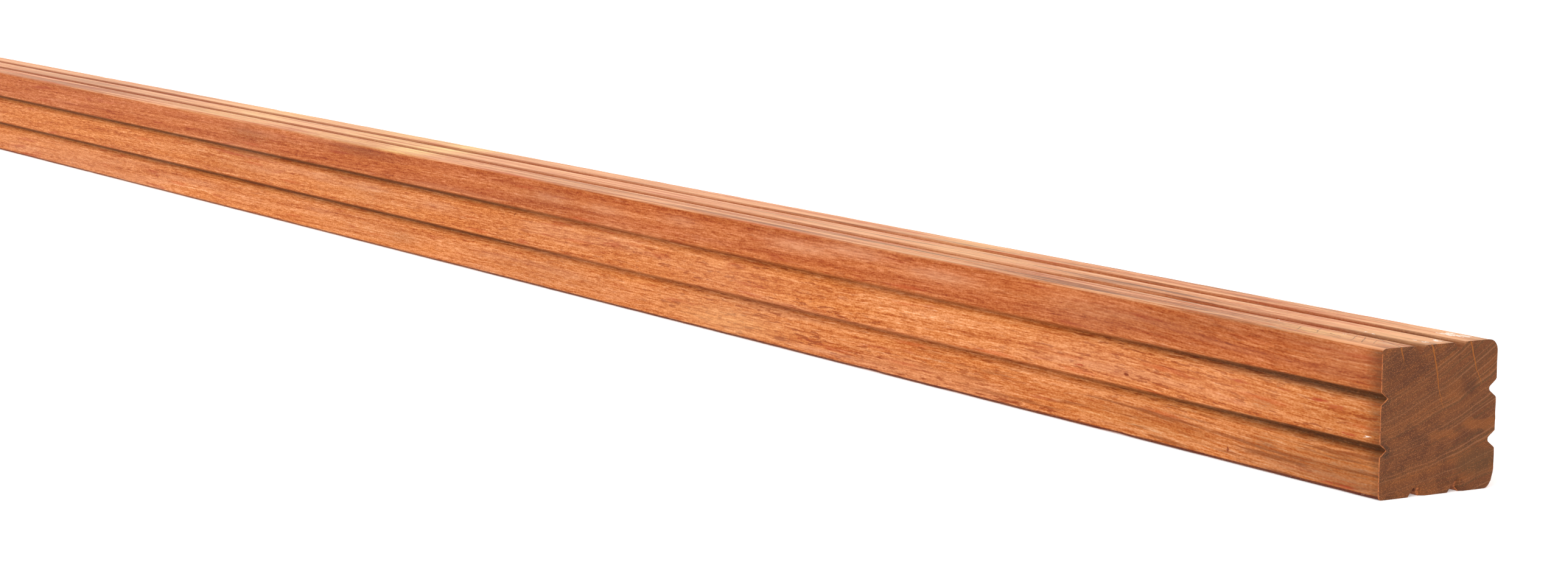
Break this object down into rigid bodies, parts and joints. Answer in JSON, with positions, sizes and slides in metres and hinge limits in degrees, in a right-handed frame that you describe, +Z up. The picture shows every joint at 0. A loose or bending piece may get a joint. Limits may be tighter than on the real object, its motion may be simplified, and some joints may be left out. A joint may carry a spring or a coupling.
{
  "type": "pointed hardwood post",
  "caption": "Square planed hardwood post with V-grooves along every side, square-cut at one end and sawn to a blunt point at the other for driving into the ground.",
  "frame": {"origin": "on the floor below the middle of the lying post", "axes": "+X along the post towards its square-cut end, -Y out of the front side, +Z up"},
  "size_m": [2.75, 0.065, 0.065],
  "materials": {
    "hardwood": "planed, untreated, with darker grooves and darker sawn end grain"
  },
  "bodies": {
    "root": {"post": "hardwood"}
  },
  "joints": []
}
